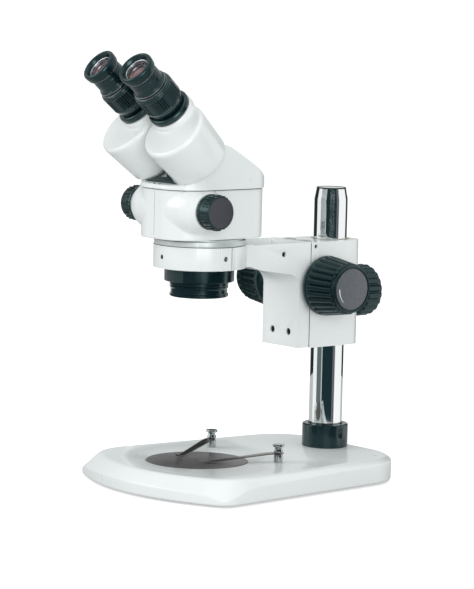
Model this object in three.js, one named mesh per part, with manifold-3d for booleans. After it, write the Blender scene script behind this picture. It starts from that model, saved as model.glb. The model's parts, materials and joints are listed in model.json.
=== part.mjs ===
// A stereo microscope on a pole stand, as separate solids that fit together.
// Millimetres, +Z up. The user sits on the -Y side and the pole stands behind.
// While it is drawn, the pole's axis is x = 0, y = 0 and the table is z = 0; the last lines
// move the whole object so that its box is centred over the origin.
import * as THREE from 'three';
import { mergeVertices } from 'three/addons/utils/BufferGeometryUtils.js';
import Module from 'manifold-3d';

const wasm = await Module();
wasm.setup();

// ---------------------------------------------------------------- driving dimensions
const GAP = 0.3; // between neighbours that touch
const PLAY = 0.1; // radial clearance of a sliding fit
const TURN = 0.25; // radial clearance of a small shaft that turns in a bore
const FOOT = 2; // height of the rubber feet
const BASE_TOP = 24;
const BASE_HALF_REAR = 91;
const BASE_HALF_FRONT = 110;
const BASE_REAR = 26;
const BASE_FRONT = -212;
const BASE_NOSE = -262;
const STAGE = { y: -158, radius: 47.5, thick: 5 };
const CLIP = { x: 49, y: -100.5, reach: 76, lean: 25.5 };
const POLE = { radius: 16, top: 273, cone: 11, taper: 2 };
const COLLAR = { radius: 22, top: 46.5 };
const BLOCK = { half: 25.6, front: -45.4, rear: 22, low: 124.4, high: 224.4 };
const ARM = { half: 26, back: -46.4, low: 125, high: 225, face: -60 };
const AXIS_Y = -160; // the optical axis, x = 0
const RING = { outer: 43, bore: 38, low: 205, high: 226 };
const LOCK = { y: -164, z: 215.8, radius: 2.3 }; // the grub screw that holds the head in the ring
const PINION = { y: -34, z: 184, teeth: 12, pitch: 6, tip: 6.7, root: 4.9, shaft: 3.5 };
const RACK_PITCH = Math.PI; // module 1, as the pinion
const KNOB = { inner: 29, face: 72, big: 28.6, small: 24 };
const CLAMP_Z = 172.5;
const BODY = { low: 233, seam: 278.5, deep: 54, wide: 39 };
const ZOOM = { y: -188.5, z: 260.5, face: 64.5, radius: 16.5, inner: 47.5 };
const COVER = { peak: 320, rear: 287, ledge: 283.4, fall: -160 };
const DRUM = { x: 29.6, y: -187.7, z: 305.5, radius: 30.7, foot: 28.7, length: 44.5 };
const EYE = { inward: 10.8, up: 16.2, lift: 5.6 }; // the eyepiece's seat from the drum's axis and face
const TILT = 49; // degrees the drums lean towards the user
const SPREAD = 4.3; // degrees each drum leans away from the other

// ---------------------------------------------------------------- materials
const finish = (color, roughness, metalness = 0) =>
  new THREE.MeshStandardMaterial({ color, roughness, metalness, flatShading: true });
const WHITE = () => finish(0xe6eaea, 0.32);
const SATIN = () => finish(0xd8dddd, 0.4);
const BLACK = () => finish(0x23292b, 0.45);
const GREY = () => finish(0x5b5d60, 0.35);
const RUBBER = () => finish(0x1a1b1c, 0.85);
const CHROME = () => finish(0xd9dde0, 0.08, 1);
const STEEL = () => finish(0x9a9da0, 0.35, 1);
const BRASS = () => finish(0xb89a55, 0.35, 1);
const LENS = () => finish(0x6b7f7a, 0.05);

// ---------------------------------------------------------------- making and joining solids
// A closed geometry as a solid: shared corners merged, slivers dropped, faces pointing out.
function toSolid(geometry) {
  const bare = geometry.clone();
  bare.deleteAttribute('normal');
  bare.deleteAttribute('uv');
  const merged = mergeVertices(bare, 1e-4);
  const corner = (i) => new THREE.Vector3().fromBufferAttribute(merged.attributes.position, i);
  const triangles = [];
  let volume = 0;
  for (let i = 0; i < merged.index.count; i += 3) {
    const [a, b, c] = [0, 1, 2].map((k) => merged.index.getX(i + k));
    if (a === b || b === c || c === a) continue;
    triangles.push([a, b, c]);
    volume += corner(a).dot(corner(b).cross(corner(c)));
  }
  const outward = volume < 0 ? triangles.map(([a, b, c]) => [a, c, b]) : triangles;
  return new wasm.Manifold(new wasm.Mesh({
    numProp: 3,
    vertProperties: new Float32Array(merged.attributes.position.array),
    triVerts: new Uint32Array(outward.flat()),
  }));
}

const join = (first, ...others) => others.reduce((whole, other) => whole.add(other), first);
const cut = (first, ...others) => others.reduce((whole, other) => whole.subtract(other), first);

// A named mesh of one solid, added to its parent.
function piece(parent, name, solid, material) {
  const mesh = solid.getMesh();
  const geometry = new THREE.BufferGeometry();
  geometry.setAttribute('position', new THREE.BufferAttribute(mesh.vertProperties.slice(), 3));
  geometry.setIndex(new THREE.BufferAttribute(mesh.triVerts.slice(), 1));
  geometry.computeVertexNormals();
  const made = new THREE.Mesh(geometry, material);
  made.name = name;
  parent.add(made);
}

// Upright cylinder or cone between two heights.
function post(radius, low, high, { x = 0, y = 0, top = radius, sides = 16 } = {}) {
  const shape = new THREE.CylinderGeometry(top, radius, high - low, sides);
  shape.rotateX(Math.PI / 2);
  shape.translate(x, y, (low + high) / 2);
  return toSolid(shape);
}

// Cylinder along X or along Y.
function rodX(radius, from, to, y, z, sides = 12) {
  const shape = new THREE.CylinderGeometry(radius, radius, to - from, sides);
  shape.rotateZ(Math.PI / 2);
  shape.translate((from + to) / 2, y, z);
  return toSolid(shape);
}

function rodY(radius, from, to, x, z, sides = 12) {
  const shape = new THREE.CylinderGeometry(radius, radius, to - from, sides);
  shape.translate(x, (from + to) / 2, z);
  return toSolid(shape);
}

function box(x0, x1, y0, y1, z0, z1) {
  const shape = new THREE.BoxGeometry(x1 - x0, y1 - y0, z1 - z0);
  shape.translate((x0 + x1) / 2, (y0 + y1) / 2, (z0 + z1) / 2);
  return toSolid(shape);
}

// A profile of [radius, height] pairs turned about the Z axis.
function turned(profile, sides = 22) {
  const shape = new THREE.LatheGeometry(profile.map(([r, z]) => new THREE.Vector2(r, z)), sides);
  shape.rotateX(Math.PI / 2);
  return shape;
}

// A profile turned about X (outwards along +X), with its axis through a point.
function turnedX(profile, y, z, sides = 24) {
  return toSolid(turned(profile, sides).rotateY(Math.PI / 2).translate(0, y, z));
}

// A closed outline through corners [x, y, radius], each rounded by an arc.
function filleted(corners) {
  const shape = new THREE.Shape();
  corners.forEach(([x, y, radius], i) => {
    const here = new THREE.Vector2(x, y);
    const to = (other) => new THREE.Vector2(other[0], other[1]).sub(here).normalize();
    const back = to(corners[(i + corners.length - 1) % corners.length]);
    const ahead = to(corners[(i + 1) % corners.length]);
    const half = Math.acos(THREE.MathUtils.clamp(back.dot(ahead), -1, 1)) / 2;
    const start = here.clone().addScaledVector(back, radius / Math.tan(half));
    if (i === 0) shape.moveTo(start.x, start.y);
    else shape.lineTo(start.x, start.y);
    if (radius === 0) return;
    const inward = back.clone().add(ahead).normalize();
    const centre = here.clone().addScaledVector(inward, radius / Math.sin(half));
    const end = here.clone().addScaledVector(ahead, radius / Math.tan(half));
    const from = start.clone().sub(centre);
    const toward = end.clone().sub(centre);
    shape.absarc(centre.x, centre.y, radius, from.angle(), toward.angle(), from.cross(toward) < 0);
  });
  return shape;
}

// An outline in plan, raised between two heights.
function raised(shape, low, high, curveSegments = 4) {
  const block = new THREE.ExtrudeGeometry(shape, {
    depth: high - low, bevelEnabled: false, curveSegments,
  });
  return block.translate(0, 0, low);
}

// An outline of [y, z] corners, carried across X from -half to +half.
function across(corners, half, curveSegments = 4) {
  const block = raised(filleted(corners), -half, half, curveSegments);
  block.rotateX(Math.PI / 2).rotateZ(Math.PI / 2);
  return toSolid(block);
}

// ---------------------------------------------------------------- base and pole
// The base's outline, pulled in by its own amount at the sides, the front and the rear.
function baseOutline(side, front, rear) {
  const corner = 20 + 2 * Math.min(front, 12);
  return filleted([
    [BASE_HALF_REAR - side, BASE_REAR - rear, 45 - rear],
    [-BASE_HALF_REAR + side, BASE_REAR - rear, 45 - rear],
    [-BASE_HALF_FRONT + side, BASE_FRONT + front, corner],
    [0, BASE_NOSE + front, 190 - 3 * front],
    [BASE_HALF_FRONT - side, BASE_FRONT + front, corner],
  ]);
}

// The plateau with flanks that flare downwards, more gently towards the rear.
function baseFlanks() {
  const shape = raised(baseOutline(7.5, 12, 1.5), 0, BASE_TOP);
  const place = shape.attributes.position;
  for (let i = 0; i < place.count; i += 1) {
    if (place.getZ(i) > 1) continue;
    const back = THREE.MathUtils.clamp((place.getY(i) + 200) / 185, 0, 1.2);
    place.setX(i, place.getX(i) * (1.17 + 0.28 * back * back));
    place.setY(i, -90 + (place.getY(i) + 90) * 1.13);
  }
  return toSolid(shape);
}

const FEET = [[-64, -10], [64, -10], [-82, -192], [82, -192]];

function baseCasting() {
  const outer = toSolid(raised(baseOutline(0, 0, 0), FOOT, BASE_TOP)).intersect(baseFlanks());
  const pocket = cut(
    toSolid(raised(baseOutline(19, 24, 14), FOOT - 1, 17)),
    post(57, 5, 18, { y: STAGE.y, sides: 28 }),
    post(30, 5, 18),
    ...FEET.map(([x, y]) => post(12, 0, 18, { x, y, sides: 12 })),
    ...[-CLIP.x, CLIP.x].map((x) => post(8, 5, 18, { x, y: CLIP.y, sides: 10 })),
    box(-2.5, 2.5, -110, -20, 6, 18),
  );
  const stageSeat = STAGE.radius + GAP;
  return cut(
    outer,
    pocket,
    post(stageSeat, BASE_TOP - STAGE.thick, 30, { y: STAGE.y, sides: 40 }),
    post(stageSeat - 6, 10, BASE_TOP, { y: STAGE.y, sides: 28 }),
    post(POLE.radius + PLAY, 12, 30, { sides: 32 }),
    post(9, 0, 9, { sides: 16 }),
    post(4.4, 8, 13, { sides: 12 }),
    ...[-CLIP.x, CLIP.x].map((x) => post(2.6, 12, 30, { x, y: CLIP.y, sides: 10 })),
    ...FEET.map(([x, y]) => post(3.3, 0, 10, { x, y, sides: 10 })),
  );
}

function underPlate() {
  return cut(
    toSolid(raised(baseOutline(19.3, 24.3, 14.3), FOOT + 0.6, FOOT + 2.1)),
    ...FEET.map(([x, y]) => post(12.6, 0, 8, { x, y, sides: 12 })),
    post(9, 0, 8, { sides: 16 }),
  );
}

function rubberFoot(x, y) {
  const profile = [[0, 0], [9, 0], [10, 0.7], [10, FOOT], [3, FOOT], [3, 9], [0, 9]];
  return toSolid(turned(profile, 14).translate(x, y, 0));
}

function clipPost(x) {
  const profile = [
    [0, 13], [2.4, 13], [2.4, BASE_TOP], [4.3, BASE_TOP], [4.3, 31.6], [2.8, 31.6], [2.8, 33.2],
    [4.5, 33.2], [4.5, 34.6], [3.4, 37.8], [5.6, 38.6], [5.6, 40.6], [4.9, 41.2], [0, 41.2],
  ];
  return toSolid(turned(profile, 14).translate(x, CLIP.y, 0));
}

// The sprung strip: an eye on the post, a long fall and an upturned tip. Drawn along -Y, then
// turned towards the middle of the stage.
function clipSpring(side) {
  const thick = 0.8;
  const run = [[5, 32.8], [-8, 32.8], [-CLIP.reach + 7, 25.6], [-CLIP.reach, 28.2]];
  const under = run.map(([y, z]) => [y, z - thick]).reverse();
  const strip = across([...run, ...under].map(([y, z]) => [y, z, 0]), 6);
  const taper = cut(
    toSolid(raised(filleted([
      [5.4, 5.6, 4], [-5.4, 5.6, 4], [-2.6, -CLIP.reach - 1, 2], [2.6, -CLIP.reach - 1, 2],
    ]), 20, 40, 4)),
    post(2.8 + PLAY, 10, 50, { sides: 16 }),
  );
  return strip.intersect(taper)
    .rotate([0, 0, -side * CLIP.lean])
    .translate([side * CLIP.x, CLIP.y, 0]);
}

function pole() {
  const { radius, top, cone, taper } = POLE;
  const profile = [
    [0, 12.2], [radius, 12.2], [radius, top - cone], [radius - taper, top - 0.8],
    [radius - taper - 1, top], [0, top + 0.6],
  ];
  return cut(toSolid(turned(profile, 30)), post(4.2, 0, 30, { sides: 12 }));
}

function poleCollar() {
  const { radius, top } = COLLAR;
  const profile = [
    [POLE.radius + GAP, BASE_TOP], [radius - 0.6, BASE_TOP], [radius, BASE_TOP + 0.6],
    [radius, top - 1], [radius - 1, top], [POLE.radius + GAP, top],
    [POLE.radius + GAP, BASE_TOP],
  ];
  return cut(toSolid(turned(profile, 30)), rodX(2.6, 10, 40, 0, 36, 12));
}

function poleBolt() {
  const profile = [[0, 3], [8, 3], [8, 8.8], [4, 8.8], [4, 26], [0, 26]];
  return cut(toSolid(turned(profile, 16)), post(3.2, 0, 6, { sides: 6 }));
}

// ---------------------------------------------------------------- block on the pole
const BUSH = { bore: POLE.radius + PLAY, outer: 18.4 };

function rackHousing() {
  const { half, front, rear, low, high } = BLOCK;
  const plan = filleted([
    [half, front, 0.8], [half, rear, 15], [-half, rear, 15], [-half, front, 0.8],
  ]);
  const slideway = raised(filleted([
    [14.6, front - 1, 0], [18.1, -38.2, 0], [-18.1, -38.2, 0], [-14.6, front - 1, 0],
  ]), low - 1, high + 1);
  return cut(
    join(toSolid(raised(plan, low, high)), rodY(12, 15, 26.4, 0, CLAMP_Z, 24)),
    post(BUSH.outer + PLAY, low - 1, high + 1, { sides: 32 }),
    toSolid(slideway),
    box(-6, 6, -39, -25.6, PINION.z - 9, PINION.z + 9),
    rodX(PINION.shaft + TURN, -half - 1, half + 1, PINION.y, PINION.z),
    rodY(4.3, 12, 30, 0, CLAMP_Z),
    rodX(2.2, 20, half + 1, -39.8, 220.2, 12),
    rodX(2.2, 20, half + 1, 8, 200, 12),
  );
}

function poleBush() {
  const sleeve = cut(
    post(BUSH.outer, BLOCK.low + 0.5, BLOCK.high - 0.5, { sides: 32 }),
    post(BUSH.bore, BLOCK.low - 1, BLOCK.high + 1, { sides: 32 }),
  );
  return cut(sleeve, box(-1, 1, -25, -10, BLOCK.low - 1, BLOCK.high + 1));
}

// A round bar along X with the pinion's teeth in the middle, one tooth pointing at the rack.
function pinionShaft() {
  const teeth = new THREE.Shape();
  const step = (2 * Math.PI) / PINION.teeth;
  const flank = [[-0.3, PINION.root], [-0.11, PINION.tip], [0.11, PINION.tip], [0.3, PINION.root]];
  for (let i = 0; i < PINION.teeth; i += 1) {
    flank.forEach(([part, radius]) => {
      const turn = Math.PI + (i + part) * step;
      const [x, y] = [radius * Math.cos(turn), radius * Math.sin(turn)];
      if (i === 0 && part === flank[0][0]) teeth.moveTo(x, y);
      else teeth.lineTo(x, y);
    });
  }
  const gear = raised(teeth, -4, 4).rotateX(Math.PI / 2).rotateZ(Math.PI / 2);
  return join(
    toSolid(gear.translate(0, PINION.y, PINION.z)),
    rodX(PINION.shaft, -KNOB.face + 8, KNOB.face - 8, PINION.y, PINION.z),
  );
}

// A knob's outline with rounded ribs: two radii, taken in turn round the circle.
function ribbed(outer, groove, ribs) {
  const shape = new THREE.Shape();
  const step = (2 * Math.PI) / ribs;
  for (let i = 0; i < ribs; i += 1) {
    [[-0.5, groove], [-0.2, outer], [0.2, outer]].forEach(([part, radius], k) => {
      const turn = (i + part) * step;
      const [x, y] = [radius * Math.cos(turn), radius * Math.sin(turn)];
      if (i === 0 && k === 0) shape.moveTo(x, y);
      else shape.lineTo(x, y);
    });
  }
  return shape;
}

function focusKnob(side) {
  const { inner, face, big, small } = KNOB;
  const skirt = [
    [0, inner], [24, inner], [big - 0.6, inner + 4], [big - 0.6, inner + 7], [18, inner + 8],
    [18, face - 5], [small - 2.6, face - 4.2], [small - 2.8, face - 0.8], [small - 3.6, face],
    [19.6, face], [19.2, face - 1.6], [0, face - 1.6],
  ];
  const ribs = raised(ribbed(big, big - 2.6, 26), inner + 7, face - 4);
  const place = ribs.attributes.position;
  for (let i = 0; i < place.count; i += 1) {
    if (place.getZ(i) < inner + 8) continue;
    place.setX(i, place.getX(i) * (small / big));
    place.setY(i, place.getY(i) * (small / big));
  }
  const whole = join(toSolid(turned(skirt, 26)), toSolid(ribs));
  const bored = cut(whole, post(PINION.shaft + 0.05, 0, face - 7.5, { sides: 12 }));
  return bored.rotate([0, side * 90, 0]).translate([0, PINION.y, PINION.z]);
}

function focusKnobDisc(side) {
  const { face } = KNOB;
  const disc = turned([[0, face - 1.5], [18.8, face - 1.5], [18.8, face - 0.5], [0, face - 0.5]]);
  return toSolid(disc).rotate([0, side * 90, 0]).translate([0, PINION.y, PINION.z]);
}

// The knob behind the pole; its screw passes through the block and presses a brass pad.
function clampKnob() {
  const core = [
    [0, 27], [20, 27], [22, 31], [22, 46], [20.5, 49], [17, 49.6], [0, 49.6],
  ];
  const whole = join(toSolid(turned(core)), toSolid(raised(ribbed(25, 22.8, 20), 29.5, 46.5)));
  const bored = cut(whole, post(4.05, 20, 42, { sides: 12 }));
  return bored.rotate([-90, 0, 0]).translate([0, 0, CLAMP_Z]);
}

const clampScrew = () => rodY(4, 21, 41.5, 0, CLAMP_Z);
const clampPad = () => rodY(4, 18.7, 20.7, 0, CLAMP_Z);

// ---------------------------------------------------------------- arm with its clamp ring
function armBracket() {
  const { half, back, low, high, face } = ARM;
  const side = across([
    [back, low, 0], [back, high, 0], [-122, high, 0], [-122, 205.2, 0], [-106, 200.6, 0],
    [face, 193.8, 14], [face, low, 0],
  ], half);
  const lug = toSolid(raised(filleted([
    [43.5, -170, 0.8], [43.5, -155, 1.5], [half, -125, 2], [half, -118, 0], [-half, -118, 0],
    [-half, -125, 2], [-42.4, -153, 4], [-36, AXIS_Y - 10, 0],
  ]), RING.low, RING.high));
  return cut(
    join(side, lug, post(RING.outer, RING.low, RING.high, { y: AXIS_Y, sides: 36 })),
    post(RING.bore + GAP, RING.low - 1, RING.high + 1, { y: AXIS_Y, sides: 36 }),
    toSolid(raised(filleted([
      [half - 4.6, -57, 4], [-half + 4.6, -57, 4], [-half + 4.6, -117, 8], [half - 4.6, -117, 8],
    ]), 208, high + 1)),
    box(30, 60, -157.7, -156.3, RING.low - 1, RING.high + 1),
    rodX(LOCK.radius + PLAY, RING.bore - 1, 50, LOCK.y, LOCK.z, 12),
    rodX(2.6, 18, 40, -79.5, 214.6, 12),
    rodY(2.2, AXIS_Y - 50, AXIS_Y - RING.bore, -2, LOCK.z, 12),
    ...[-11.5, 11.5].map((x) => rodY(3.4, face - 1, face + 4, x, 139.5)),
    ...[-11.5, 11.5].map((x) => rodY(2.3, face, back + 1, x, 139.5, 12)),
  );
}

function slidePlate() {
  const { back, low, high } = ARM;
  const plan = filleted([
    [13.9, back + 0.1, 0], [17.5, -38.6, 0], [5.3, -38.6, 0], [5.3, -43.2, 0], [-5.3, -43.2, 0],
    [-5.3, -38.6, 0], [-17.5, -38.6, 0], [-13.9, back + 0.1, 0],
  ]);
  return cut(
    toSolid(raised(plan, low, high)),
    ...[-11.5, 11.5].map((x) => rodY(2.1, back - 1, -37, x, 139.5, 12)),
  );
}

// The rack: a bar with trapezoid teeth that face the pinion, one space level with its axis.
function rack() {
  const [backFace, rootLine, tipLine] = [-43, -40.95, -39.3];
  const [low, high] = [132, 219];
  const outline = [[backFace, low, 0], [rootLine, low, 0]];
  const first = Math.ceil((low + 2 - PINION.z) / RACK_PITCH);
  const last = Math.floor((high - 2 - PINION.z) / RACK_PITCH) - 1;
  for (let i = first; i <= last; i += 1) {
    const middle = PINION.z + (i + 0.5) * RACK_PITCH;
    outline.push([rootLine, middle - 0.95, 0], [tipLine, middle - 0.35, 0]);
    outline.push([tipLine, middle + 0.35, 0], [rootLine, middle + 0.95, 0]);
  }
  outline.push([rootLine, high, 0], [backFace, high, 0]);
  return across(outline, 4.9);
}

function columnScrew(x) {
  const { face, back } = ARM;
  const shank = join(
    rodY(3.1, face + 0.9, face + 3.9, x, 139.5),
    rodY(2, face + 3, back + 6, x, 139.5, 12),
  );
  return cut(shank, rodY(1.5, face, face + 2.6, x, 139.5, 6));
}

const ringScrew = () => cut(
  rodX(LOCK.radius, RING.bore + 0.4, 42.5, LOCK.y, LOCK.z, 12),
  rodX(1.2, 41, 43, LOCK.y, LOCK.z, 6),
);

// ---------------------------------------------------------------- zoom body
const bodyPlan = (grow = 0) => filleted([
  [BODY.wide + grow, AXIS_Y - BODY.deep - grow, 30 + grow],
  [BODY.wide + grow, AXIS_Y + BODY.deep + grow, 24 + grow],
  [-BODY.wide - grow, AXIS_Y + BODY.deep + grow, 24 + grow],
  [-BODY.wide - grow, AXIS_Y - BODY.deep - grow, 30 + grow],
].reverse());

// One half of the lower body: a thin wall with a boss that reaches out to the zoom knob.
function bodyShell(side) {
  const { low, seam } = BODY;
  const boss = turnedX([
    [0, 20], [24, 20], [22.5, 36], [18.5, 43], [16.4, ZOOM.inner], [0, ZOOM.inner],
  ], ZOOM.y, ZOOM.z);
  const bossSide = side > 0 ? boss : boss.rotate([0, 180, 0]).translate([0, 0, 2 * ZOOM.z]);
  const outer = join(toSolid(raised(bodyPlan(), low, seam)), bossSide);
  const trimmed = outer.intersect(box(-60, 60, -240, -80, low, seam));
  const half = side > 0 ? box(0.15, 80, -240, -80, 200, 300) : box(-80, -0.15, -240, -80, 200, 300);
  return cut(
    trimmed.intersect(half),
    toSolid(raised(bodyPlan(-4), low + 4, seam + 1)),
    post(26, low - 1, low + 6, { y: AXIS_Y, sides: 24 }),
    rodX(4 + TURN, -80, 80, ZOOM.y, ZOOM.z),
  );
}

function headFlange() {
  const profile = [
    [27, 199], [31, 199], [31, 204], [RING.bore, 204], [RING.bore, RING.high + 0.3],
    [42.5, RING.high + 0.3], [42.5, 231.4], [40, 231.4], [40, 232.8], [27, 232.8], [27, 199],
  ];
  const notch = (turn) => box(-0.7, 0.7, -44, -41.6, 229, 232)
    .rotate([0, 0, turn]).translate([0, AXIS_Y, 0]);
  const bar = toSolid(turned(profile, 36).translate(0, AXIS_Y, 0));
  return cut(bar, notch(3), notch(12));
}

function objectiveHousing() {
  const profile = [
    [24, 192], [32.5, 192], [32.5, 203.7], [31.3, 203.7], [31.3, 198.7], [26.7, 198.7],
    [26.7, 202], [24, 202], [24, 192],
  ];
  return toSolid(turned(profile, 30).translate(0, AXIS_Y, 0));
}

function objectiveRing() {
  const profile = [
    [22.5, 177.8], [26.6, 177.8], [27.3, 178.6], [27.3, 180.6], [26.2, 181.4], [26.2, 185.6],
    [27.3, 186.4], [27.3, 191.7], [22.5, 191.7], [22.5, 177.8],
  ];
  return toSolid(turned(profile, 30).translate(0, AXIS_Y, 0));
}

function objectiveLens() {
  const profile = [[0, 182], [12, 182.7], [22.2, 185], [22.2, 190], [0, 190]];
  return toSolid(turned(profile, 24).translate(0, AXIS_Y, 0));
}

const zoomShaft = () => rodX(4, -ZOOM.face + 4, ZOOM.face - 4, ZOOM.y, ZOOM.z);

function zoomKnob(side) {
  const { inner, face, radius } = ZOOM;
  const core = [
    [0, inner + 0.8], [radius - 1.6, inner + 0.8], [radius - 0.8, inner + 2],
    [radius - 0.8, face - 1.2], [radius - 2, face], [0, face],
  ];
  const ribs = raised(ribbed(radius, radius - 1.4, 12), inner + 2, face - 1.6);
  const whole = join(toSolid(turned(core)), toSolid(ribs));
  const bored = cut(whole, post(4.05, 0, face - 3.5, { sides: 12 }));
  return bored.rotate([0, side * 90, 0]).translate([0, ZOOM.y, ZOOM.z]);
}

// A guide rod's height and the carriage with its two lens cells, moved by the zoom drive.
const RODS = [[-28, AXIS_Y + 30], [28, AXIS_Y + 30]];

const guideRod = ([x, y]) => post(2, 237.4, 276, { x, y, sides: 12 });

function zoomCarriage() {
  const plate = toSolid(raised(filleted([
    [32.5, -145, 4], [32.5, -126, 4], [-32.5, -126, 4], [-32.5, -145, 4],
    [-26, -176, 6], [26, -176, 6],
  ]), 252, 256));
  const cells = [-13, 13].map((x) => post(11, 249, 259, { x, y: AXIS_Y }));
  return cut(
    join(plate, ...cells),
    ...[-13, 13].map((x) => post(9, 240, 270, { x, y: AXIS_Y })),
    ...RODS.map(([x, y]) => post(2 + PLAY, 240, 270, { x, y, sides: 12 })),
  );
}

function zoomLens(x) {
  const profile = [[0, 251], [6, 251.4], [8.8, 252.6], [8.8, 255.4], [6, 256.6], [0, 257]];
  return toSolid(turned(profile, 20).translate(x, AXIS_Y, 0));
}

// The height of the sloping face under the drums, and where that face reaches a height.
const LEAN = THREE.MathUtils.degToRad(TILT);
const SEAT_HEIGHT = DRUM.z - GAP / Math.cos(LEAN) - DRUM.y * Math.tan(LEAN);
const seatAt = (z, drop = 0) => (z + drop / Math.cos(LEAN) - SEAT_HEIGHT) / Math.tan(LEAN);

// The cover over the zoom body: it falls to the rear and slopes under the drums to a ledge.
function topCover() {
  const { peak, rear, ledge, fall } = COVER;
  const low = BODY.seam + 0.5;
  const back = AXIS_Y + BODY.deep + 1.5;
  const front = AXIS_Y - BODY.deep - 1.5;
  const crown = [
    [back, low - 1, 0], [back, rear, 6], [fall, peak, 6], [seatAt(peak), peak, 2],
    [seatAt(ledge), ledge, 1], [front, ledge, 2], [front, low - 1, 0],
  ];
  const hollow = [
    [back - 6, low - 2, 0], [back - 6, rear - 3, 0], [fall, peak - 6, 0],
    [seatAt(peak - 6, 8), peak - 6, 0], [seatAt(low - 2, 8), low - 2, 0],
  ];
  const outer = toSolid(raised(bodyPlan(1.5), low, peak + 2)).intersect(across(crown, 60));
  const inner = toSolid(raised(bodyPlan(-4), low - 1, peak)).intersect(across(hollow, 60));
  const window = (x) => post(9, -12, 12).rotate([TILT, 0, 0]).translate([x, DRUM.y, DRUM.z]);
  const seat = (side) => post(DRUM.foot + 0.6, -GAP, 40, { sides: 34 })
    .rotate([0, side * SPREAD, 0])
    .rotate([TILT, 0, 0])
    .translate([side * DRUM.x, DRUM.y, DRUM.z]);
  return cut(outer, inner, window(-25), window(25), seat(-1), seat(1));
}

// ---------------------------------------------------------------- drums and eyepieces
// These are drawn upright, with the drum's foot at z = 0, and leaned by the group they are in.
function prismDrum(side) {
  const { radius, foot, length } = DRUM;
  const [x, y] = [-side * EYE.inward, EYE.up];
  const seat = length + EYE.lift;
  const wall = turned([
    [0, 0], [foot - 1, 0], [foot, 1], [radius, length - 3], [radius - 1, length - 0.8],
    [radius - 3, length], [0, length],
  ], 34);
  const boss = turned([
    [0, 20], [9, 20], [20.8, length - 4], [20.8, seat - 1], [20, seat], [0, seat],
  ], 26).translate(x, y, 0);
  return cut(
    join(toSolid(wall), toSolid(boss)),
    post(12, 30, seat + 5, { x, y }),
    post(10, -2, 6),
    box(-18, 18, -16, 16, 4, 36),
  );
}

// The erecting prism inside the drum, a block with its upper rear edge cut away.
const prism = () => across([
  [-14, 5, 0], [-14, 34, 0], [6, 34, 0], [15, 24, 0], [15, 5, 0],
], 17);

// Pieces on the eyepiece's own axis, upwards from its seat on the drum.
const SEAT = DRUM.length + EYE.lift;

function eyepieceTube() {
  const low = SEAT + GAP;
  return toSolid(turned([
    [10.9, low], [19.4, low], [20.2, low + 0.8], [20.2, low + 5], [18.6, low + 6],
    [13.6, low + 6], [13.6, low + 31], [10.9, low + 31], [10.9, low],
  ]));
}

function dioptreRing() {
  const low = SEAT + 6.6;
  const profile = [
    [13.8, low], [16.4, low], [18.2, low + 7], [18.2, low + 25], [17, low + 27.4],
    [13.8, low + 27.4], [13.8, low],
  ];
  const ribs = cut(
    toSolid(raised(ribbed(19, 17.6, 24), low + 7.5, low + 24)),
    post(16, 0, 150),
  );
  return join(toSolid(turned(profile)), ribs);
}

function eyepieceBarrel() {
  const low = SEAT + 34.3;
  return toSolid(turned([
    [9, low - 24], [10.6, low - 24], [10.6, low], [16.2, low], [16.8, low + 0.8],
    [16.8, low + 2], [15.2, low + 3.6], [14.8, low + 17], [12.9, low + 17], [12.9, low + 12],
    [9, low + 9], [9, low - 24],
  ]));
}

function eyeCup() {
  const low = SEAT + 51.6;
  return toSolid(turned([
    [12.5, low - 2.6], [12.5, low], [15.4, low], [16.4, low + 1.2], [17, low + 7.4],
    [16, low + 9], [14.4, low + 9.4], [11.8, low + 6], [11.8, low - 2.6], [12.5, low - 2.6],
  ]));
}

function eyeLens() {
  const low = SEAT + 49;
  return toSolid(turned([
    [0, low - 4], [8.2, low - 3.6], [11.6, low - 1], [11.6, low + 2], [7, low + 4.2], [0, low + 5],
  ], 24));
}

function namePlate() {
  const edge = [-10, -14, -18, -22, -25, -28.3].map((v) => [
    DRUM.x - Math.sqrt(DRUM.foot ** 2 - v ** 2) - 1, v, 0,
  ]);
  const mirrored = edge.map(([u, v]) => [-u, v, 0]).reverse();
  return toSolid(raised(filleted([...mirrored, ...edge].reverse()), GAP, 1.8))
    .rotate([TILT, 0, 0])
    .translate([0, DRUM.y, SEAT_HEIGHT + DRUM.y * Math.tan(LEAN)]);
}

// ---------------------------------------------------------------- assembly
const SIDES = [['left', -1], ['right', 1]];
const scope = new THREE.Group();

piece(scope, 'base_casting', baseCasting(), WHITE());
piece(scope, 'base_under_plate', underPlate(), STEEL());
FEET.forEach(([x, y], i) => {
  const name = ['rear_left', 'rear_right', 'front_left', 'front_right'][i];
  piece(scope, `foot_${name}`, rubberFoot(x, y), RUBBER());
});
piece(scope, 'stage_plate', toSolid(turned([
  [0, 19], [STAGE.radius, 19], [STAGE.radius, 23.7], [STAGE.radius - 0.4, 24.1], [0, 24.1],
], 40).translate(0, STAGE.y, 0)), GREY());
piece(scope, 'pole', pole(), CHROME());
piece(scope, 'pole_collar', poleCollar(), BLACK());
piece(scope, 'pole_bolt', poleBolt(), STEEL());

piece(scope, 'pole_bush', poleBush(), BRASS());
piece(scope, 'rack_housing', rackHousing(), WHITE());
piece(scope, 'pinion_shaft', pinionShaft(), STEEL());
piece(scope, 'clamp_knob', clampKnob(), BLACK());
piece(scope, 'clamp_screw', clampScrew(), STEEL());
piece(scope, 'clamp_pad', clampPad(), BRASS());

piece(scope, 'arm_bracket', armBracket(), WHITE());
piece(scope, 'slide_plate', slidePlate(), STEEL());
piece(scope, 'rack', rack(), BRASS());
piece(scope, 'ring_clamp_screw', ringScrew(), STEEL());

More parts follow.
